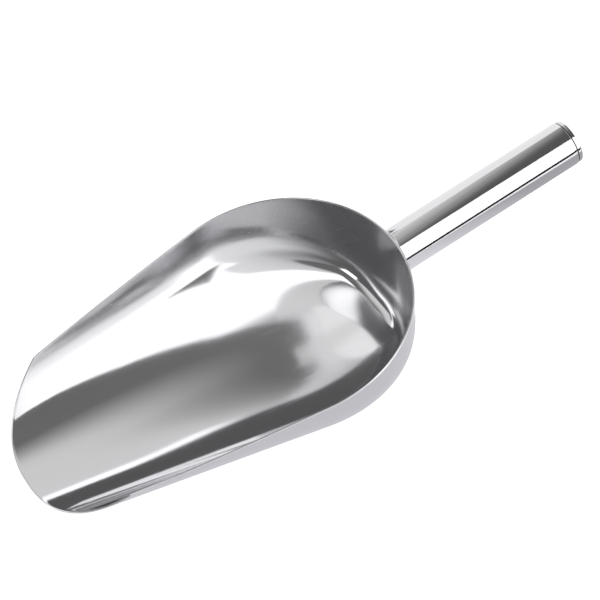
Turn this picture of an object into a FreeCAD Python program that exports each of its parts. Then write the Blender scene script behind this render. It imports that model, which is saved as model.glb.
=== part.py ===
import FreeCAD, Part
import Sketcher
import math
import os

# Ice scoop, polished stainless steel.  Millimetres, +Z up.  The handle points to +X and the
# mouth to -X, and the part is symmetric about the XZ plane.  The keel line of the bowl rests
# on Z = 0, and the origin is the middle of the whole part's length at that height.
#
# The model is built about the girth of the back wall: X = 0 on the outside of the back wall,
# Z = 0 at the level where the bowl is widest.  Each sub-part's Placement then moves it down
# to the real frame.

DRIVING_SIZES = [
    # name, value in millimetres, degrees or a plain number, meaning
    ("bowl_half_width", 72.0, "radius of the back of the plan outline, across the scoop"),
    ("back_round_length", 69.5, "length of the round back along the scoop"),
    ("side_taper", 8.6, "degrees by which each side closes in towards the mouth"),
    ("bowl_length", 218.0, "back wall to the tip of the mouth"),
    ("girth_depth", 36.3, "keel below the widest level"),
    ("heel_length", 18.0, "length over which the keel turns up into the back wall"),
    ("heel_power", 3.0, "roundness of the heel, 2 is an ellipse"),
    ("mouth_power", 2.4, "fullness of the section at the mouth, 2 is an ellipse"),
    ("back_power", 3.1, "fullness of the section at the back"),
    ("bowl_wall", 1.2, "sheet thickness of the bowl"),
    ("rim_back_height", 11.1, "rim above the widest level at the back wall"),
    ("rim_slope", 7.55, "degrees by which the rim falls towards the mouth"),
    ("lip_angle", 33.7, "degrees between the lip's cut and the keel"),
    ("handle_radius", 12.5, "outside of the handle tube"),
    ("handle_wall", 1.2, "wall of the handle tube"),
    ("handle_tilt", 9.2, "degrees by which the handle rises"),
    ("handle_height", -2.9, "handle axis at the back wall, above the widest level"),
    ("handle_length", 111.5, "back wall to the open end of the tube, along its axis"),
    ("weld_leg", 1.2, "leg of the fillet weld round the handle's root"),
    ("cap_skirt_length", 9.0, "part of the cap inside the tube"),
    ("cap_skirt_wall", 1.5, "wall of the hollow skirt"),
    ("cap_press_gap", 0.02, "radial room between skirt and tube"),
    ("cap_groove_width", 0.6, "groove between the tube's end and the cap's head"),
    ("cap_groove_depth", 0.8, "groove bottom below the tube's outside"),
    ("cap_head_length", 2.4, "thickness of the cap's head"),
    ("cap_head_step", 0.3, "head smaller than the tube, on the radius"),
    ("cap_edge_round", 0.7, "rounding of the head's outer edge"),
]

SECTION_STEPS = 12        # points on half of one cross-section
BACK_SECTIONS = 8         # cross-sections from the back wall to the start of the sides
SIDE_SECTIONS = 12        # further cross-sections along the tapered sides
PAST_MOUTH = 12.0         # the forms run on past the mouth before the lip is cut
ABOVE_RIM = 25.0          # height of the forms above the widest level
TOOL_ROOM = 60.0          # how far cutting tools reach past the part
RUN_IN = 15.0             # tube and weld stock start this far inside the back wall
H_AXIS = -1               # a sketch's own horizontal axis
V_AXIS = -2               # a sketch's own vertical axis


def new_document():
    """Make the document and its sheet of driving sizes."""
    document = FreeCAD.newDocument("ice_scoop")
    sizes = document.addObject("Spreadsheet::Sheet", "Sizes")
    for row, (alias, value, meaning) in enumerate(DRIVING_SIZES, start=1):
        sizes.set("A%d" % row, alias)
        sizes.set("B%d" % row, str(value))
        sizes.set("C%d" % row, meaning)
        sizes.setAlias("B%d" % row, alias)
    document.recompute()
    return document, sizes


document, sizes = new_document()


def size(alias):
    """Read one driving size from the sheet."""
    return float(sizes.get(alias))


# ---------------------------------------------------------------- shape of the bowl

def half_width(x, inset):
    """Half the plan width at x: an elliptical back, then straight sides that close in."""
    radius = size("bowl_half_width") - inset
    length = size("back_round_length") - inset
    taper = math.radians(size("side_taper"))
    along = (x + inset) * radius / length + radius
    if along > -radius * math.sin(taper):
        return math.sqrt(max(radius ** 2 - along ** 2, 0.0))
    return (radius + math.sin(taper) * along) / math.cos(taper)


def depth(x, inset):
    """Keel depth below the widest level at x: level, then turned up at the heel."""
    heel = size("heel_length") - inset
    power = size("heel_power")
    share = min(max((x + inset + heel) / heel, 0.0), 1.0)
    return (size("girth_depth") - inset) * (1.0 - share ** power) ** (1.0 / power)


def section_power(x):
    """Exponent of the section at x: fuller at the back than at the mouth."""
    share = min(max(-x / size("bowl_length"), 0.0), 1.0)
    return size("back_power") + (size("mouth_power") - size("back_power")) * share


def section_edge(x, inset):
    """Half-section below the widest level, in the plane at x, from the -Y side to the +Y side."""
    width = half_width(x, inset)
    low = depth(x, inset)
    power = section_power(x)
    points = []
    for step in range(-SECTION_STEPS, SECTION_STEPS + 1):
        angle = 0.5 * math.pi * step / SECTION_STEPS
        across = width * math.copysign(abs(math.sin(angle)) ** (2.0 / power), angle)
        down = low * max(math.cos(angle), 0.0) ** (2.0 / power)
        points.append(FreeCAD.Vector(x, across, -down))
    curve = Part.BSplineCurve()
    curve.interpolate(
        Points=points,
        InitialTangent=FreeCAD.Vector(0, 0, -1),
        FinalTangent=FreeCAD.Vector(0, 0, 1),
    )
    return curve.toShape()


def section_places(inset):
    """X of each section from the back wall forward, closer together at the back."""
    length = size("back_round_length") - inset
    places = []
    for step in range(1, BACK_SECTIONS + 1):
        angle = 0.5 * math.pi * step / BACK_SECTIONS
        places.append(-inset - length * (1.0 - math.cos(angle)))
    start = places[-1]
    end = -size("bowl_length") - PAST_MOUTH
    for step in range(1, SIDE_SECTIONS + 1):
        places.append(start + (end - start) * step / SIDE_SECTIONS)
    return places


def bowl_form(inset):
    """Solid inside of the bowl's outer skin, or inside a skin that lies inset within it."""
    sections = [section_edge(x, inset) for x in section_places(inset)]
    pole = Part.Vertex(-inset, 0.0, 0.0)
    skin = Part.makeLoft([pole] + [Part.Wire([edge]) for edge in sections], False, False)
    mouth = max(skin.Edges, key=lambda edge: -edge.CenterOfMass.x)
    sides = [edge for edge in skin.Edges if edge.BoundBox.XLength > size("heel_length")]
    left, right = mouth.Vertexes[0].Point, mouth.Vertexes[-1].Point
    chord = Part.makeLine(left, right)
    lid = Part.Face(Part.Wire(Part.__sortEdges__(sides + [chord])))
    end = Part.Face(Part.Wire(Part.__sortEdges__([mouth, chord])))
    shell = Part.Shell([skin.Faces[0], lid, end])
    lower = Part.Solid(shell)
    if lower.Volume < 0:
        lower.reverse()
    upper = lid.extrude(FreeCAD.Vector(0, 0, ABOVE_RIM))
    return lower.fuse(upper)


def side_cut():
    """Everything above the rim line and in front of the lip line, seen from the side."""
    tip = FreeCAD.Vector(-size("bowl_length"), 0.0, -size("girth_depth"))
    fall = math.tan(math.radians(size("rim_slope")))
    lip = math.tan(math.radians(size("lip_angle")))
    corner_x = (size("rim_back_height") - tip.z - lip * size("bowl_length")) / (lip - fall)
    corner = FreeCAD.Vector(corner_x, 0.0, size("rim_back_height") + fall * corner_x)
    front_x = tip.x - TOOL_ROOM
    top = ABOVE_RIM + TOOL_ROOM
    outline = [
        FreeCAD.Vector(TOOL_ROOM, 0.0, size("rim_back_height") + fall * TOOL_ROOM),
        corner,
        FreeCAD.Vector(front_x, 0.0, tip.z - lip * TOOL_ROOM),
        FreeCAD.Vector(front_x, 0.0, top),
        FreeCAD.Vector(TOOL_ROOM, 0.0, top),
    ]
    face = Part.Face(Part.makePolygon(outline + [outline[0]]))
    reach = size("bowl_half_width") + TOOL_ROOM
    face.translate(FreeCAD.Vector(0.0, -reach, 0.0))
    return face.extrude(FreeCAD.Vector(0.0, 2.0 * reach, 0.0))


def add_form(name, inset):
    """Put a bowl form in the document, for the pieces that are cut to fit it."""
    form = document.addObject("Part::Feature", name)
    form.Shape = bowl_form(inset).Solids[0]
    return form


def add_bowl(outer_form, inner_form):
    """One sheet, pressed to shape and trimmed along its rim and lip."""
    bowl = document.addObject("Part::Feature", "scoop_bowl")
    bowl.Shape = outer_form.Shape.cut(inner_form.Shape).cut(side_cut()).Solids[0]
    return bowl


# ---------------------------------------------------------------- handle, cap and weld

def origin_plane(body, role):
    """One of a body's own origin planes."""
    return [item for item in body.Origin.OriginFeatures if item.Role == role][0]


def add_sketch(body, name, role):
    """An empty sketch on one of the body's origin planes."""
    sketch = body.newObject("Sketcher::SketchObject", name)
    sketch.AttachmentSupport = [(origin_plane(body, role), "")]
    sketch.MapMode = "FlatFace"
    return sketch


def along_handle(start):
    """Placement whose Z runs along the handle, with its origin start mm behind the back wall."""
    tilt = FreeCAD.Rotation(FreeCAD.Vector(0, 1, 0), 90.0 - size("handle_tilt"))
    base = FreeCAD.Vector(0.0, 0.0, size("handle_height"))
    return FreeCAD.Placement(base + tilt.multVec(FreeCAD.Vector(0.0, 0.0, start)), tilt)


def add_ring(name, inner, outer, start, length):
    """A straight ring about the handle's axis; its sizes are expressions on the sheet."""
    body = document.addObject("PartDesign::Body", name)
    sketch = add_sketch(body, name + "_sketch", "XY_Plane")
    for index, expression in enumerate((inner, outer)):
        circle = Part.Circle(FreeCAD.Vector(0, 0, 0), FreeCAD.Vector(0, 0, 1), index + 1.0)
        sketch.addGeometry(circle, False)
        sketch.addConstraint(Sketcher.Constraint("Coincident", index, 3, -1, 1))
        sketch.addConstraint(Sketcher.Constraint("Radius", index, index + 1.0))
        sketch.setExpression("Constraints[%d]" % (2 * index + 1), expression)
    pad = body.newObject("PartDesign::Pad", name + "_pad")
    pad.Profile = sketch
    pad.setExpression("Length", length)
    body.Placement = along_handle(start)
    return body


def add_cut(name, base, tool):
    """Base less tool, as one object of the document."""
    cut = document.addObject("Part::Cut", name)
    cut.Base = base
    cut.Tool = tool
    return cut


def add_handle_tube(outer_form):
    """Round tube, its front end cut to sit on the back wall."""
    stock = add_ring(
        "handle_tube_stock",
        "Sizes.handle_radius - Sizes.handle_wall",
        "Sizes.handle_radius",
        -RUN_IN,
        "Sizes.handle_length + %g" % RUN_IN,
    )
    return add_cut("handle_tube", stock, outer_form)


def add_weld(outer_form, weld_form):
    """Fillet weld all round the handle's root, on the tube and on the back wall."""
    stock = add_ring(
        "weld_stock",
        "Sizes.handle_radius",
        "Sizes.handle_radius + Sizes.weld_leg",
        -RUN_IN,
        "%g" % (2.0 * RUN_IN),
    )
    near_wall = document.addObject("Part::Common", "weld_near_wall")
    near_wall.Base = stock
    near_wall.Tool = weld_form
    return add_cut("handle_weld", near_wall, outer_form)


def add_end_cap():
    """Turned cap: hollow skirt pressed into the tube, groove, and a head with a round edge."""
    body = document.addObject("PartDesign::Body", "handle_end_cap")
    sketch = add_sketch(body, "cap_sketch", "XZ_Plane")
    skirt = "Sizes.handle_radius - Sizes.handle_wall - Sizes.cap_press_gap"
    groove = "Sizes.handle_radius - Sizes.cap_groove_depth"
    head = "Sizes.handle_radius - Sizes.cap_head_step"
    end = "Sizes.cap_groove_width + Sizes.cap_head_length"
    corners = [
        # radius, distance behind the open end of the tube, both as expressions
        ("0", end),
        (head, end),
        (head, "Sizes.cap_groove_width"),
        (groove, "Sizes.cap_groove_width"),
        (groove, "0"),
        (skirt, "0"),
        (skirt, "-Sizes.cap_skirt_length"),
        (skirt + " - Sizes.cap_skirt_wall", "-Sizes.cap_skirt_length"),
        (skirt + " - Sizes.cap_skirt_wall", "0"),
        ("0", "0"),
    ]
    rough = [(0, 3), (12, 3), (12, 1), (11.7, 1), (11.7, 0), (11, 0), (11, -9), (9, -9), (9, 0), (0, 0)]
    points = [FreeCAD.Vector(radius, along, 0) for radius, along in rough]
    count = len(points)
    for index in range(count):
        sketch.addGeometry(Part.LineSegment(points[index], points[(index + 1) % count]), False)
    for index in range(count):
        sketch.addConstraint(Sketcher.Constraint("Coincident", index, 2, (index + 1) % count, 1))
    for index, (radius, along) in enumerate(corners):
        for kind, axis, expression, value in (
            ("DistanceX", V_AXIS, radius, rough[index][0]),
            ("DistanceY", H_AXIS, along, rough[index][1]),
        ):
            if expression == "0":
                sketch.addConstraint(Sketcher.Constraint("PointOnObject", index, 1, axis))
                continue
            number = sketch.addConstraint(Sketcher.Constraint(kind, -1, 1, index, 1, value))
            sketch.setExpression("Constraints[%d]" % number, expression)
    turned = body.newObject("PartDesign::Revolution", "cap_turned")
    turned.Profile = sketch
    turned.ReferenceAxis = (sketch, ["V_Axis"])
    turned.Angle = 360.0
    document.recompute()
    rounded = body.newObject("PartDesign::Fillet", "cap_rounded")
    rounded.Base = (turned, [outer_edge_name(turned.Shape)])
    rounded.setExpression("Radius", "Sizes.cap_edge_round")
    body.Placement = along_handle(size("handle_length"))
    return body


def outer_edge_name(shape):
    """Name of the circular edge that is furthest out along Z and largest there."""
    best = None
    for number, edge in enumerate(shape.Edges, start=1):
        if not isinstance(edge.Curve, Part.Circle):
            continue
        rank = (round(edge.BoundBox.ZMax, 6), edge.Curve.Radius)
        if best is None or rank > best[0]:
            best = (rank, "Edge%d" % number)
    return best[1]


# ---------------------------------------------------------------- build, check and write

def place_in_frame(pieces):
    """Rest the keel on Z = 0 and put the middle of the whole length at X = 0."""
    low = min(piece.Shape.optimalBoundingBox(False, False).XMin for piece in pieces)
    high = max(piece.Shape.optimalBoundingBox(False, False).XMax for piece in pieces)
    shift = FreeCAD.Placement(
        FreeCAD.Vector(-0.5 * (low + high), 0.0, size("girth_depth")), FreeCAD.Rotation()
    )
    for piece in pieces:
        piece.Placement = shift.multiply(piece.Placement)
    return shift.Base


def check(pieces):
    """Stop if any object failed to build or a piece isn't one valid solid."""
    for item in document.Objects:
        if "Invalid" in item.State or "Error" in item.State:
            raise RuntimeError("%s did not build: %s" % (item.Label, item.State))
    for piece in pieces:
        shape = piece.Shape
        if shape.isNull() or not shape.isValid() or len(shape.Solids) != 1:
            raise RuntimeError("%s is not one valid solid" % piece.Label)


outer_form = add_form("bowl_outer_form", 0.0)
inner_form = add_form("bowl_inner_form", size("bowl_wall"))
weld_form = add_form("bowl_weld_form", -size("weld_leg"))
bowl = add_bowl(outer_form, inner_form)
tube = add_handle_tube(outer_form)
weld = add_weld(outer_form, weld_form)
cap = add_end_cap()
document.recompute()

pieces = [bowl, tube, weld, cap]
shift = place_in_frame(pieces)
document.recompute()
check(pieces)

os.makedirs("parts", exist_ok=True)
for piece in pieces:
    piece.Shape.exportStep("parts/%s.step" % piece.Label)
    box = piece.Shape.optimalBoundingBox(False, False)
    print("%-16s volume %9.1f mm3  X %7.2f to %7.2f  Y %6.2f to %6.2f  Z %6.2f to %6.2f" % (
        piece.Label, piece.Shape.Volume, box.XMin, box.XMax, box.YMin, box.YMax, box.ZMin, box.ZMax))
print("frame shift", shift)
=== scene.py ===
import math

import bmesh
import bpy
import numpy as np
from mathutils import Matrix, Vector

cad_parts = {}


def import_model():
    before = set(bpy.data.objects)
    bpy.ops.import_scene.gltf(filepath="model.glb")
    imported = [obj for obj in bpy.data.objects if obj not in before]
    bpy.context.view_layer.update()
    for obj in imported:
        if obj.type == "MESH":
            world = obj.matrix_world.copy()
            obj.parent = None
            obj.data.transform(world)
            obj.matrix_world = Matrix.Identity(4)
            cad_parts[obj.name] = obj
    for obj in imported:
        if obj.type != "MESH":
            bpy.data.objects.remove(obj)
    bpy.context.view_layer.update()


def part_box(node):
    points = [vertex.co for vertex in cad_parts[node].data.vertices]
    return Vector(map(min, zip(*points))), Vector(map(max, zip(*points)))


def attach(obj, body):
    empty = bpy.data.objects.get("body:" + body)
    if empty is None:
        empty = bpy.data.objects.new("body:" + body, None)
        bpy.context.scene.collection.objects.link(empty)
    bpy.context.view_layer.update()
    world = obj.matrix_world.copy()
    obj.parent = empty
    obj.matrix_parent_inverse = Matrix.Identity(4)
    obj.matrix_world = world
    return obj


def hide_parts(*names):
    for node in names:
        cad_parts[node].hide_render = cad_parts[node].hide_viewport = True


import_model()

# ---------------------------------------------------------------- sizes, in millimetres and degrees
# The shape is worked out about the girth of the back wall, as in the CAD source: X = 0 on the
# outside of the back wall, Z = 0 where the bowl is widest.

BACK_HALF_WIDTH = 72.0
BACK_LENGTH = 69.5              # length of the round back
TAPER = math.radians(8.6)       # how much each side closes in towards the mouth
LENGTH = 218.0
DEPTH = 36.3                    # from the girth down to the keel
HEEL = 18.0                     # length over which the keel comes up to the back wall
HEEL_POWER = 3.0
BACK_POWER = 3.1                # powers of the section's superellipse, at the back and at the mouth
MOUTH_POWER = 2.4
WALL = 1.2
RIM_HEIGHT = 11.1               # at the back wall
RIM_SLOPE = math.tan(math.radians(7.55))
LIP = math.tan(math.radians(33.7))
TUBE_R = 12.5
TUBE_WALL = 1.2
TUBE_LENGTH = 111.5
TUBE_EASE = 0.25                # rounding of the tube's open edge
TILT = math.radians(9.2)
AXIS_HEIGHT = -2.9              # of the handle's axis where it meets the back wall
WELD = 1.2
CAP_GROOVE_R, CAP_GROOVE = 11.7, 0.6
CAP_HEAD_R, CAP_HEAD, CAP_HEAD_EDGE = 12.2, 2.38, 0.7
CAP_SKIRT_R, CAP_SKIRT, CAP_SKIRT_WALL = TUBE_R - TUBE_WALL - 0.02, 9.0, 1.5
MM = 0.001

# the CAD bowl's box gives the place; its underside is rounded to a tenth of a millimetre, because the
# box is measured on facets
bowl_low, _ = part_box("scoop_bowl")
SHIFT = Vector((bowl_low.x + LENGTH * MM, 0.0, round(bowl_low.z + DEPTH * MM, 4)))


def world(points):
    """Points in the millimetre frame as metres in the row frame."""
    return np.asarray(points, float) * MM + np.array(SHIFT)


# ---------------------------------------------------------------- the bowl's outer skin

def half_width(x):
    along = x * BACK_HALF_WIDTH / BACK_LENGTH + BACK_HALF_WIDTH
    straight = (BACK_HALF_WIDTH + math.sin(TAPER) * along) / math.cos(TAPER)
    curved = np.sqrt(np.maximum(BACK_HALF_WIDTH ** 2 - along ** 2, 0.0))
    return np.where(along > -BACK_HALF_WIDTH * math.sin(TAPER), curved, straight)


def depth(x):
    share = np.clip((x + HEEL) / HEEL, 0.0, 1.0)
    return DEPTH * (1.0 - share ** HEEL_POWER) ** (1.0 / HEEL_POWER)


def power(x):
    return BACK_POWER + (MOUTH_POWER - BACK_POWER) * np.clip(-x / LENGTH, 0.0, 1.0)


TRIM = 0.5 * WALL                      # the rounded edge stands this far past the trimmed skin
RIM_Z = RIM_HEIGHT - TRIM
TIP_X = -LENGTH + TRIM
SECTION_STEPS, UPRIGHT_STEPS = 700, 60
LEAN_ROUNDS = 8                        # a leaning line's depth is found again from its own X
HALVINGS = 44
NEAR_BACK_WALL = -6.0                  # X past which normals come from the back wall's slope


def station(x0, count):
    """One line across the skin, from the rim on the -Y side to the rim on the +Y side.
    It leans forward near the mouth, where the skin ends at the slanted lip."""
    share = min(max((-x0 - BACK_LENGTH) / (-TIP_X - BACK_LENGTH), 0.0), 1.0)
    lean = share * share / LIP
    rim = (RIM_Z + RIM_SLOPE * (x0 + lean * DEPTH)) / (1.0 - RIM_SLOPE * lean)

    def place(z):
        return x0 + lean * (z + DEPTH)

    # dense first pass in the section's own angle, then even steps along its length
    angle = np.linspace(0.0, 0.5 * math.pi, SECTION_STEPS)
    z = -DEPTH * np.cos(angle)
    for _ in range(LEAN_ROUNDS):
        x = place(z)
        z = -depth(x) * np.maximum(np.cos(angle), 0.0) ** (2.0 / power(x))
    x = place(z)
    y = half_width(x) * np.sin(angle) ** (2.0 / power(x))
    if rim > 0.0:
        zu = np.linspace(0.0, rim, UPRIGHT_STEPS)[1:]
        xu = place(zu)
        x, y, z = np.append(x, xu), np.append(y, half_width(xu)), np.append(z, zu)
    else:
        last = int(np.argmax(z > rim))
        part = (rim - z[last - 1]) / (z[last] - z[last - 1])
        y_end = y[last - 1] + part * (y[last] - y[last - 1])
        x, y, z = (np.append(v[:last], e) for v, e in ((x, place(rim)), (y, y_end), (z, rim)))
    line = np.stack([x, y, z], 1)
    run = np.append(0.0, np.cumsum(np.linalg.norm(np.diff(line, axis=0), axis=1)))
    even = np.linspace(0.0, run[-1], count)
    half = np.stack([np.interp(even, run, line[:, i]) for i in range(3)], 1)
    mirror = half[::-1] * (1, -1, 1)
    return np.vstack([mirror[:-1], half])


def wall_x(y, z):
    """X of the outside of the back wall at each y and z."""
    low, high = np.full(y.shape, -HEEL), np.full(y.shape, -1e-9)
    for _ in range(HALVINGS):
        x = 0.5 * (low + high)
        q = power(x)
        inside = (np.abs(y) / half_width(x)) ** q + (np.maximum(-z, 0.0) / depth(x)) ** q < 1.0
        low, high = np.where(inside, x, low), np.where(inside, high, x)
    flat = -BACK_LENGTH * (1.0 - np.sqrt(np.maximum(1.0 - (y / BACK_HALF_WIDTH) ** 2, 0.0)))
    return np.where(z >= 0.0, flat, 0.5 * (low + high))


def smooth_normals(grid):
    """Unit normals of a grid of points, pointing away from the bowl's inside."""
    along = np.gradient(grid, axis=0)
    across = np.gradient(grid, axis=1)
    n = np.cross(across, along)
    middle = grid.shape[1] // 2
    if n[-1, middle, 2] > 0:
        n = -n
    n[:, middle, 1] = 0.0
    n /= np.maximum(np.linalg.norm(n, axis=2, keepdims=True), 1e-12)
    # close to the back wall the lines of the grid run together, so the slope of X over Y and Z is used
    near = grid[:, :, 0] > NEAR_BACK_WALL
    y, z, h = grid[near][:, 1], grid[near][:, 2], 0.02
    slope_y = (wall_x(y + h, z) - wall_x(y - h, z)) / (2 * h)
    slope_z = (wall_x(y, z + h) - wall_x(y, z - h)) / (2 * h)
    m = np.stack([np.ones(len(y)), -slope_y, -slope_z], 1)
    n[near] = m / np.linalg.norm(m, axis=1, keepdims=True)
    return n


def bowl_grid(half_count=100, back_count=90, side_count=130):
    """Points of the outer skin, in lines across it whose spacing is finest at the back wall."""
    u = np.linspace(0.0, 1.0, back_count + 1)
    turn = 0.5 * math.pi * (0.45 * u ** 1.5 + 0.55 * u ** 1.3)
    back = -BACK_LENGTH * (1.0 - np.cos(turn))
    side = np.linspace(back[-1], TIP_X, side_count + 1)[1:]
    places = np.append(back, side)
    places[0] = 0.0
    return np.array([station(x, half_count) for x in places])


def make_mesh(name, points, faces):
    mesh = bpy.data.meshes.new(name)
    mesh.from_pydata([tuple(p) for p in world(points)], [], [tuple(f) for f in faces])
    mesh.validate()
    bm = bmesh.new()
    bm.from_mesh(mesh)
    bmesh.ops.remove_doubles(bm, verts=bm.verts, dist=2e-6)
    bmesh.ops.dissolve_degenerate(bm, edges=bm.edges, dist=1e-7)
    bmesh.ops.recalc_face_normals(bm, faces=bm.faces)
    bm.to_mesh(mesh)
    bm.free()
    for polygon in mesh.polygons:
        polygon.use_smooth = True
    obj = bpy.data.objects.new(name, mesh)
    bpy.context.scene.collection.objects.link(obj)
    return obj


def grid_faces(rows, cols, first, flip):
    faces = []
    for i in range(rows - 1):
        for j in range(cols - 1):
            a = first + i * cols + j
            quad = (a, a + 1, a + cols + 1, a + cols)
            faces.append(quad[::-1] if flip else quad)
    return faces


def make_bowl(edge_steps=10):
    """The outer skin, the inner skin one wall inside it, and a half-round edge between them."""
    outer = bowl_grid()
    normal = smooth_normals(outer)
    inner = outer - WALL * normal
    rows, cols = outer.shape[:2]
    points = list(outer.reshape(-1, 3)) + list(inner.reshape(-1, 3))
    faces = grid_faces(rows, cols, 0, False) + grid_faces(rows, cols, rows * cols, True)

    # the closed edge: lip from -Y to +Y, back along the +Y rim, round the back, -Y rim forward
    loop = [(rows - 1, j) for j in range(cols)]
    loop += [(i, cols - 1) for i in range(rows - 2, -1, -1)]
    loop += [(i, 0) for i in range(1, rows - 1)]
    edge_outer = np.array([outer[i, j] for i, j in loop])
    edge_normal = np.array([normal[i, j] for i, j in loop])
    step = np.roll(edge_outer, -1, 0) - np.roll(edge_outer, 1, 0)
    step /= np.linalg.norm(step, axis=1, keepdims=True)
    away = np.cross(step, edge_normal)
    away /= np.linalg.norm(away, axis=1, keepdims=True)
    if away[cols // 2, 0] > 0:
        away = -away
    centre = edge_outer - 0.5 * WALL * edge_normal
    rings = [[i * cols + j for i, j in loop]]
    for k in range(1, edge_steps):
        angle = math.pi * k / edge_steps
        ring = centre + TRIM * (math.cos(angle) * edge_normal + math.sin(angle) * away)
        rings.append(list(range(len(points), len(points) + len(loop))))
        points += list(ring)
    rings.append([rows * cols + i * cols + j for i, j in loop])
    for a, b in zip(rings[:-1], rings[1:]):
        for k in range(len(loop)):
            m = (k + 1) % len(loop)
            faces.append((a[k], b[k], b[m], a[m]))
    return make_mesh("bowl_shell", points, faces)


bowl = make_bowl()

# ---------------------------------------------------------------- handle tube, weld and end cap

AXIS = np.array((math.cos(TILT), 0.0, math.sin(TILT)))
START = np.array((0.0, 0.0, AXIS_HEIGHT))
SIDE = np.array((0.0, 1.0, 0.0))
UP = np.cross(AXIS, SIDE)


def around(radius, t, turns):
    """Points round the handle's axis, t along it from the back wall."""
    out = np.sin(turns)[:, None] * SIDE + np.cos(turns)[:, None] * UP
    return START + np.reshape(t, (-1, 1)) * AXIS + np.reshape(radius, (-1, 1)) * out


def reach_wall(turns, radius, beyond=0.0, rounds=12):
    """Distance along the handle's axis at which lines on the tube meet the back wall."""
    t = np.zeros(len(turns))
    for _ in range(rounds):
        p = around(radius, t, turns)
        t = t + (wall_x(p[:, 1], p[:, 2]) + beyond - p[:, 0]) / AXIS[0]
    return t


def loft_loops(name, rings, closed=False):
    """Skin through closed rings of equal count; a ring of one point closes an end."""
    points, faces, loops = [], [], []
    for ring in rings:
        loops.append(list(range(len(points), len(points) + len(ring))))
        points.extend(ring)
    if closed:
        loops.append(loops[0])
    for a, b in zip(loops[:-1], loops[1:]):
        count = max(len(a), len(b))
        for k in range(count):
            m = (k + 1) % count
            if len(a) == 1:
                faces.append((a[0], b[m], b[k]))
            elif len(b) == 1:
                faces.append((a[k], a[m], b[0]))
            else:
                faces.append((a[k], a[m], b[m], b[k]))
    return make_mesh(name, points, faces)


def make_tube(count=192, steps=60):
    turns = np.linspace(0.0, 2.0 * math.pi, count, endpoint=False)
    inner_r = TUBE_R - TUBE_WALL
    root_out, root_in = reach_wall(turns, TUBE_R), reach_wall(turns, inner_r)
    rings = [around(TUBE_R, root_out + s * (TUBE_LENGTH - TUBE_EASE - root_out), turns)
             for s in np.linspace(0.0, 1.0, steps)]
    rings += [around(TUBE_R - TUBE_EASE * (1 - math.cos(a)), TUBE_LENGTH - TUBE_EASE * (1 - math.sin(a)), turns)
              for a in np.linspace(0, 0.5 * math.pi, 5)[1:]]
    rings += [around(inner_r, TUBE_LENGTH + s * (root_in - TUBE_LENGTH), turns)
              for s in np.linspace(0.0, 1.0, 12)]
    return loft_loops("handle_tube_skin", rings, closed=True)


def make_weld(count=288):
    """A slightly hollow fillet of weld metal round the root, with the ripple of its run."""
    turns = np.linspace(0.0, 2.0 * math.pi, count, endpoint=False)
    ripple = 0.04 * np.sin(64 * turns) + 0.03 * np.sin(7 * turns + 0.8)
    rings = []
    for s in np.linspace(0.0, 1.0, 9):
        bulge = math.sin(math.pi * s)
        shape = WELD * (1.0 - 0.16 * bulge + ripple * bulge)
        radius = TUBE_R + (1.0 - s) * shape
        rings.append(around(radius, reach_wall(turns, radius, s * shape), turns))
    rings.append(around(TUBE_R, reach_wall(turns, TUBE_R), turns))
    return loft_loops("handle_root_weld", rings, closed=True)


def make_cap(count=192, ease=0.12, chamfer=0.2):
    """The cap's outline from the middle of its face, round the head, groove and skirt, turned."""
    end, edge = CAP_GROOVE + CAP_HEAD, CAP_HEAD_EDGE
    skirt_in = CAP_SKIRT_R - CAP_SKIRT_WALL
    outline = [(0.0, end), (3.0, end), (6.0, end), (9.0, end)]
    outline += [(CAP_HEAD_R - edge + edge * math.sin(a), end - edge + edge * math.cos(a))
                for a in np.linspace(0, 0.5 * math.pi, 9)]
    outline += [(CAP_HEAD_R, CAP_GROOVE + ease), (CAP_HEAD_R - ease * 0.3, CAP_GROOVE + ease * 0.3),
                (CAP_HEAD_R - ease, CAP_GROOVE), (CAP_GROOVE_R + 0.05, CAP_GROOVE),
                (CAP_GROOVE_R, CAP_GROOVE - 0.05), (CAP_GROOVE_R, 0.0), (CAP_SKIRT_R, 0.0),
                (CAP_SKIRT_R, -CAP_SKIRT + chamfer), (CAP_SKIRT_R - chamfer, -CAP_SKIRT),
                (skirt_in + chamfer, -CAP_SKIRT), (skirt_in, -CAP_SKIRT + chamfer), (skirt_in, 0.0), (0.0, 0.0)]
    turns = np.linspace(0.0, 2.0 * math.pi, count, endpoint=False)
    return loft_loops("handle_cap", [around(r, TUBE_LENGTH + t, turns if r else turns[:1])
                                     for r, t in outline])


def mark_sharp_edges(obj, least=math.radians(40)):
    bm = bmesh.new()
    bm.from_mesh(obj.data)
    for e in bm.edges:
        if len(e.link_faces) == 2 and e.calc_face_angle(0.0) > least:
            e.smooth = False
    bm.to_mesh(obj.data)
    bm.free()


tube = make_tube()
weld = make_weld()
cap = make_cap()
for turned in (tube, weld, cap):
    mark_sharp_edges(turned)

# ---------------------------------------------------------------- materials

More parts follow.
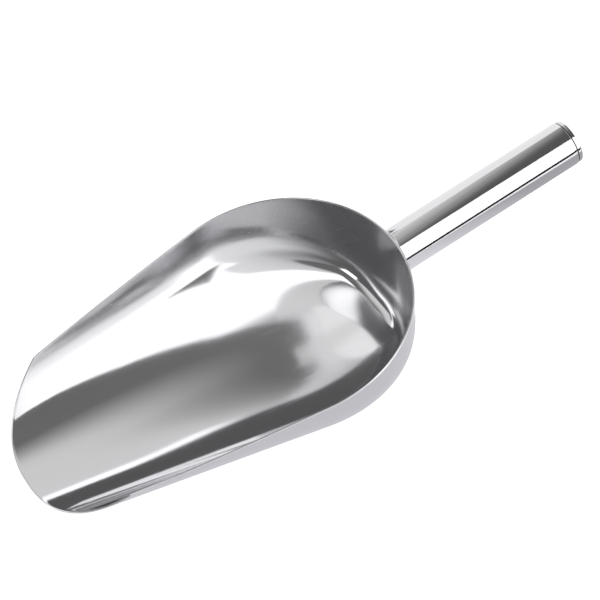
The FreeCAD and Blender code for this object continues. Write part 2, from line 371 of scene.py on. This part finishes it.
class Graph:
    """Short calls for making nodes in one tree."""

    def __init__(self, tree):
        self.tree = tree

    def node(self, kind, **settings):
        made = self.tree.nodes.new(kind)
        for name, value in settings.items():
            setattr(made, name, value)
        return made

    def link(self, value, socket):
        if isinstance(value, bpy.types.NodeSocket):
            self.tree.links.new(value, socket)
        else:
            socket.default_value = value

    def math(self, operation, *values):
        made = self.node("ShaderNodeMath", operation=operation)
        for value, socket in zip(values, made.inputs):
            self.link(value, socket)
        return made.outputs[0]

    def add(self, a, b):
        return self.math("ADD", a, b)

    def times(self, a, b):
        return self.math("MULTIPLY", a, b)

    def less(self, a, b):
        return self.math("SUBTRACT", a, b)

    def step(self, value, low, high):
        """0 below low and 1 above high, smooth between them."""
        made = self.node("ShaderNodeMapRange", interpolation_type="SMOOTHSTEP")
        for name, v in (("Value", value), ("From Min", low), ("From Max", high)):
            self.link(v, made.inputs[name])
        return made.outputs["Result"]

    def fall(self, value, low, high):
        """1 below low and 0 above high."""
        return self.less(1.0, self.step(value, low, high))

    def ramp(self, value, low, high, stops):
        """A grey curve through (position, brightness) stops, with positions from low to high."""
        made = self.node("ShaderNodeValToRGB")
        self.link(self.math("DIVIDE", self.less(value, low), high - low), made.inputs[0])
        elements = made.color_ramp.elements
        while len(elements) > 1:
            elements.remove(elements[-1])
        for index, (position, grey) in enumerate(stops):
            place = (position - low) / (high - low)
            element = elements[0] if index == 0 else elements.new(place)
            element.position = place
            element.color = (grey, grey, grey, 1.0)
        return made.outputs["Color"]

    def blend(self, share, a, b):
        return self.add(a, self.times(share, self.less(b, a)))

    def split(self, vector):
        made = self.node("ShaderNodeSeparateXYZ")
        self.link(vector, made.inputs[0])
        return made.outputs

    def move(self, vector, location=(0, 0, 0), rotation=(0, 0, 0), scale=(1, 1, 1)):
        made = self.node("ShaderNodeMapping")
        for name, v in (("Vector", vector), ("Location", location), ("Rotation", rotation), ("Scale", scale)):
            self.link(v, made.inputs[name])
        return made.outputs[0]

    def noise(self, vector, scale, detail):
        made = self.node("ShaderNodeTexNoise")
        for name, v in (("Vector", vector), ("Scale", scale), ("Detail", detail)):
            self.link(v, made.inputs[name])
        return made.outputs["Fac"]


LEAST_ROUGHNESS = 0.03
BUMP_DEPTH = 0.04 * MM
# painted shade: the dark base colour that stands in for the shade down in the cap's groove
GROOVE_SHADE_COLOUR = (0.05, 0.05, 0.055, 1.0)


def add_satin(g, rough, amount):
    """More roughness where the surface is steep."""
    normal = g.split(g.node("ShaderNodeNewGeometry").outputs["Normal"])
    steep = g.fall(g.math("ABSOLUTE", normal["Z"]), 0.45, 0.93)
    return g.add(rough, g.times(steep, amount))


def add_turning_and_groove_shade(g, place, height, shader, steel_colour):
    """Lathe rings about the middle of the cap's face, and painted shade down in the groove: the base colour is
    darkened there.
    """
    face = world([START + (TUBE_LENGTH + CAP_GROOVE + CAP_HEAD) * AXIS])[0]
    from_face = g.move(place, location=tuple(-face))
    rings = g.node("ShaderNodeTexWave", wave_type="RINGS", rings_direction="SPHERICAL")
    g.link(from_face, rings.inputs["Vector"])
    rings.inputs["Scale"].default_value = 700.0
    along, side, up = g.split(g.move(from_face, rotation=(0.0, TILT, 0.0)))
    off_axis = g.math("SQRT", g.add(g.times(side, side), g.times(up, up)))
    groove = g.times(g.fall(off_axis, 11.8 * MM, 12.1 * MM), g.fall(along, -2.4 * MM, -2.2 * MM))
    # painted shade: in the groove the base colour goes over to the dark colour, standing in for the shade there
    groove_shade = g.node("ShaderNodeMix", data_type="RGBA")
    share, unshaded, shaded = groove_shade.inputs[0], groove_shade.inputs[6], groove_shade.inputs[7]
    g.link(groove, share)
    unshaded.default_value, shaded.default_value = steel_colour, GROOVE_SHADE_COLOUR
    g.link(groove_shade.outputs[2], shader.inputs["Base Color"])
    return g.add(height, g.times(rings.outputs["Fac"], 0.8))


def steel(name, grey, roughness, grain, tilt=TILT, satin=0.0, weld_texture=0.0, turned=False):
    """Polished stainless steel. grain stretches the fine polishing lines along X, Y and Z, tilted as the
    handle is unless tilt is 0; satin is extra roughness on steep walls, and weld_texture is extra
    roughness and bump in small patches."""
    material = bpy.data.materials.new(name)
    material.use_nodes = True
    g = Graph(material.node_tree)
    shader = material.node_tree.nodes["Principled BSDF"]
    colour = (grey, grey, grey * 1.015, 1.0)
    shader.inputs["Base Color"].default_value = colour
    shader.inputs["Metallic"].default_value = 1.0

    place = g.node("ShaderNodeTexCoord").outputs["Object"]
    lines = g.noise(g.move(place, rotation=(0.0, tilt, 0.0), scale=grain), 60.0, 4.0)
    smudges = g.noise(place, 22.0, 3.0)
    specks = g.noise(place, 1400.0, 2.0)
    scratch_place = g.move(place, rotation=(0.3, 0.2, 0.6), scale=(9.0, 420.0, 420.0))
    scratches = g.step(g.noise(scratch_place, 3.0, 1.0), 0.70, 0.78)

    rough = g.add(roughness, g.times(g.less(smudges, 0.5), 0.05))
    rough = g.add(rough, g.times(g.less(lines, 0.5), 0.06))
    rough = g.add(rough, g.times(scratches, 0.07))
    if satin:
        rough = add_satin(g, rough, satin)
    if weld_texture:
        rough = g.add(rough, g.times(g.noise(place, 500.0, 3.0), weld_texture))
    g.link(g.math("MAXIMUM", rough, LEAST_ROUGHNESS), shader.inputs["Roughness"])

    height = g.add(g.times(lines, 0.5), g.times(specks, 0.25))
    height = g.less(height, g.times(scratches, 0.5))
    # for the cap: lathe rings in the bump, and painted shade that darkens the base colour in the groove
    if turned:
        height = add_turning_and_groove_shade(g, place, height, shader, colour)
    bump = g.node("ShaderNodeBump")
    bump.inputs["Strength"].default_value = 0.12 + weld_texture
    bump.inputs["Distance"].default_value = BUMP_DEPTH
    g.link(height, bump.inputs["Height"])
    g.link(bump.outputs[0], shader.inputs["Normal"])
    return material


bowl_steel = steel("bowl_steel", 0.70, 0.075, (3.0, 60.0, 60.0), tilt=0.0, satin=0.15)
tube_steel = steel("tube_steel", 0.71, 0.07, (3.0, 90.0, 90.0))
weld_steel = steel("weld_steel", 0.62, 0.20, (40.0, 40.0, 40.0), weld_texture=0.2)
cap_steel = steel("cap_steel", 0.70, 0.08, (60.0, 60.0, 60.0), turned=True)

for piece, node, slot, finish in (
    (bowl, "scoop_bowl", "bowl_steel", bowl_steel),
    (tube, "handle_tube", "tube_steel", tube_steel),
    (weld, "handle_weld", "weld_steel", weld_steel),
    (cap, "handle_end_cap", "cap_steel", cap_steel),
):
    piece.data.materials.append(finish)
    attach(piece, "root")
    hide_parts(node)

# ---------------------------------------------------------------- light by direction

scene = bpy.context.scene
scene.view_settings.view_transform = "Standard"

LIGHT_COLOUR = (0.985, 0.985, 1.0, 1.0)
FULL_LIGHT = 1.6
FAR_DARK = 0.075
FAR_DARK_TOP = (33.0, 34.5)     # where the low dark on the far side ends, in degrees


def light_the_studio(tree):
    """Light by direction, as shares of FULL_LIGHT. u is the direction's part along the scoop, and w is
    its angle round the scoop's long axis: 0 level on the far side, 90 overhead, 180 level on the near
    side."""
    g = Graph(tree)
    u, y, z = g.split(g.node("ShaderNodeTexCoord").outputs["Generated"])
    w = g.times(g.math("ARCTAN2", z, y), 180.0 / math.pi)

    # low on the far side the studio is dark, then comes a bright strip, and above it the walls are pale
    low = g.less(w, g.ramp(u, -1.0, 1.0, [(-1, 0), (0.21, 0), (0.25, 4.5), (0.28, 5.5), (1, 5.5)]))
    pale = g.ramp(u, -1.0, 1.0, [
        (-1, 0.53), (0.2, 0.53), (0.24, 0.47), (0.265, 0.38), (0.295, 0.37), (0.31, 1), (1, 1)])
    above_dark = g.step(low, *FAR_DARK_TOP)
    strip = g.times(g.times(above_dark, g.fall(low, 37.5, 39.5)), g.fall(u, 0.24, 0.27))
    top = g.blend(above_dark, FAR_DARK, pale)
    top = g.blend(strip, top, 1.0)
    top = g.blend(g.step(w, 57.0, 63.0), top, 1.0)

    # past the angle end, the studio falls away to dark towards the mouth
    near_fall = g.ramp(u, -1.0, 1.0, [
        (-1, 0.08), (-0.85, 0.11), (-0.77, 0.15), (-0.61, 0.32), (-0.34, 0.56), (-0.1, 0.6), (0.2, 0.62),
        (0.435, 0.62), (0.445, 0.2), (0.46, 0.34), (0.48, 0.56), (0.55, 0.62), (1, 0.62)])
    far_fall = g.ramp(u, -1.0, 1.0, [
        (-1, 0.08), (-0.5, 0.09), (-0.4, 0.17), (-0.1, 0.38), (0.0, 0.5), (0.2, 0.62), (1, 0.62)])
    fall = g.blend(g.step(w, 118.0, 142.0), far_fall, near_fall)
    end = g.times(180.0, g.ramp(u, -1.0, 1.0, [
        (-1, 0.2), (-0.2, 0.2), (-0.15, 0.444), (-0.1, 0.461), (0.0, 0.478), (0.08, 0.494),
        (0.14, 0.505), (0.22, 0.533), (0.28, 0.61), (0.33, 0.72), (0.37, 0.92), (0.435, 1),
        (0.445, 0.8), (0.5, 0.85), (0.6, 1), (1, 1)]))
    past = g.step(w, g.less(end, 1.5), g.add(end, 1.5))
    lit = g.blend(past, top, g.math("MINIMUM", top, fall))

    # a bright window low down towards the mouth, which the far wall shows along its rim
    window = g.times(g.times(g.fall(u, -0.6, -0.45), g.fall(w, 34.0, 40.0)), g.step(w, 0.0, 6.0))
    lit = g.blend(window, lit, 0.95)

    background = tree.nodes["Background"]
    g.link(g.times(lit, FULL_LIGHT), background.inputs["Strength"])
    background.inputs["Color"].default_value = LIGHT_COLOUR


environment = bpy.data.worlds.new("studio")
scene.world = environment
environment.use_nodes = True
light_the_studio(environment.node_tree)

# ---------------------------------------------------------------- cards, in millimetres in the row frame

WHITE = (1.0, 1.0, 1.0)
COOL_WHITE = (1.0, 1.0, 1.05)
OVERHEAD, NEAR_FLOOR, HANDLE_FLAG_HEIGHT = 400, 0.3, 200


def make_card(name, corners, strength=1.0, colour=WHITE, stops=None, toward=(0.0, 1.0)):
    """A flat glowing or dark studio card that only reflections see. stops, as (mm, strength), make it
    brighter or darker along the X and Y direction that toward gives."""
    mesh = bpy.data.meshes.new(name)
    mesh.from_pydata([tuple(MM * v for v in c) for c in corners], [], [tuple(range(len(corners)))])
    card = bpy.data.objects.new(name, mesh)
    scene.collection.objects.link(card)
    material = bpy.data.materials.new(name)
    material.use_nodes = True
    tree = material.node_tree
    tree.nodes.remove(tree.nodes["Principled BSDF"])
    glow = tree.nodes.new("ShaderNodeEmission")
    glow.inputs["Color"].default_value = (*colour, 1.0)
    glow.inputs["Strength"].default_value = strength
    if stops:
        g = Graph(tree)
        x, y, _ = g.split(g.node("ShaderNodeTexCoord").outputs["Object"])
        along = g.times(g.add(g.times(x, toward[0]), g.times(y, toward[1])), 1.0 / MM)
        g.link(g.ramp(along, stops[0][0], stops[-1][0], stops), glow.inputs["Strength"])
    tree.links.new(glow.outputs[0], tree.nodes["Material Output"].inputs["Surface"])
    mesh.materials.append(material)
    card.visible_camera = False
    card.visible_diffuse = False
    card.visible_shadow = False


def flat(height, outline):
    return [(x, y, height) for x, y in outline]


def box_outline(x0, x1, y0, y1):
    return [(x0, y0), (x1, y0), (x1, y1), (x0, y1)]


# over the mouth and the floor of the bowl, with the slanted edge that shows in the bowl
make_card("overhead_flag", flat(OVERHEAD, [
    (-200, -75), (-30, -75), (-12, -44), (20, 80), (55, 168), (85, 232), (122, 277), (156, 303),
    (150, 430), (-200, 430)]), toward=(-1.0, 1.0), stops=[
    (-100, 0.17), (195, 0.18), (225, 0.27), (260, 0.42), (290, 0.58), (320, 0.74), (360, 0.82), (600, 0.85)])
make_card("back_patch_card", flat(OVERHEAD - 1, box_outline(-316, -155, -40, 110)), 2.4)
# just over the floor beside the bowl, for the pale grey of its outside
make_card("near_floor_card", flat(NEAR_FLOOR, box_outline(-200, 66, -230, -22)), 0.72, COOL_WHITE)

# cards for the handle: a flag over it, one card on each side, a black line, and one under it
make_card("handle_flag", flat(HANDLE_FLAG_HEIGHT, box_outline(62, 280, -98, 150)), toward=(-1.0, 1.0), stops=[
    (-260, 0.1), (-180, 0.12), (-140, 0.2), (-115, 0.31), (-80, 0.4), (-55, 0.52), (-20, 0.6), (20, 0.75),
    (60, 0.85)])
make_card("far_handle_card", [(84, 150, 0), (340, 150, 0), (340, 150, 200), (84, 150, 200)], 1.1)
make_card("near_handle_card", [(66, -120, 25), (330, -120, 68), (330, -120, 360), (66, -120, 360)], 1.7)
make_card("near_handle_line", [(70, -118, 5), (330, -118, 47), (330, -118, 70.5), (70, -118, 28.5)], 0.005)
make_card("under_handle_card", flat(NEAR_FLOOR, box_outline(66, 330, -125, 60)), colour=COOL_WHITE,
          toward=(1.0, 0.0), stops=[
              (66, 0.88), (85, 0.86), (100, 0.76), (130, 0.64), (156, 0.5), (330, 0.47)])

# ---------------------------------------------------------------- floor

FLOOR_REACH = 4.0               # metres each way
FLOOR_DROP = 0.2 * MM           # clears the bowl's keel

floor_mesh = bpy.data.meshes.new("floor")
floor_mesh.from_pydata(flat(0.0, box_outline(-FLOOR_REACH, FLOOR_REACH, -FLOOR_REACH, FLOOR_REACH)),
                       [], [(0, 1, 2, 3)])
floor = bpy.data.objects.new("floor", floor_mesh)
floor.location.z = -FLOOR_DROP
scene.collection.objects.link(floor)
floor_paint = bpy.data.materials.new("floor_paint")
floor_paint.use_nodes = True
paint = floor_paint.node_tree.nodes["Principled BSDF"]
paint.inputs["Base Color"].default_value = (0.6, 0.6, 0.6, 1.0)
paint.inputs["Roughness"].default_value = 1.0
paint.inputs["Specular IOR Level"].default_value = 0.0
paint.inputs["Emission Color"].default_value = (1.0, 1.0, 1.0, 1.0)
paint.inputs["Emission Strength"].default_value = 0.75
floor_mesh.materials.append(floor_paint)

# ---------------------------------------------------------------- camera

AZIMUTH, ELEVATION, ROLL = math.radians(-26.768), math.radians(48.0), math.radians(-6.0)
DISTANCE = 973.488              # from the girth of the back wall, along the view
AIM_RIGHT, AIM_UP = 47.341, 25.994      # how far the back wall sits right of and above the middle of the view
LENS, SENSOR = 112.8463, 36.0

back = Vector((math.sin(AZIMUTH) * math.cos(ELEVATION), -math.cos(AZIMUTH) * math.cos(ELEVATION),
               math.sin(ELEVATION)))
right = Vector((math.cos(AZIMUTH), math.sin(AZIMUTH), 0.0))
up = back.cross(right)
view_right = math.cos(ROLL) * right + math.sin(ROLL) * up
view_up = -math.sin(ROLL) * right + math.cos(ROLL) * up
place = SHIFT + MM * (DISTANCE * back - AIM_RIGHT * view_right - AIM_UP * view_up)
turn = Matrix((view_right, view_up, back)).transposed().to_4x4()
camera = bpy.data.objects.new("camera", bpy.data.cameras.new("camera"))
scene.collection.objects.link(camera)
camera.data.sensor_width = SENSOR
camera.data.lens = LENS
camera.data.clip_start, camera.data.clip_end = 0.05, 20.0
camera.matrix_world = Matrix.Translation(place) @ turn
scene.camera = camera
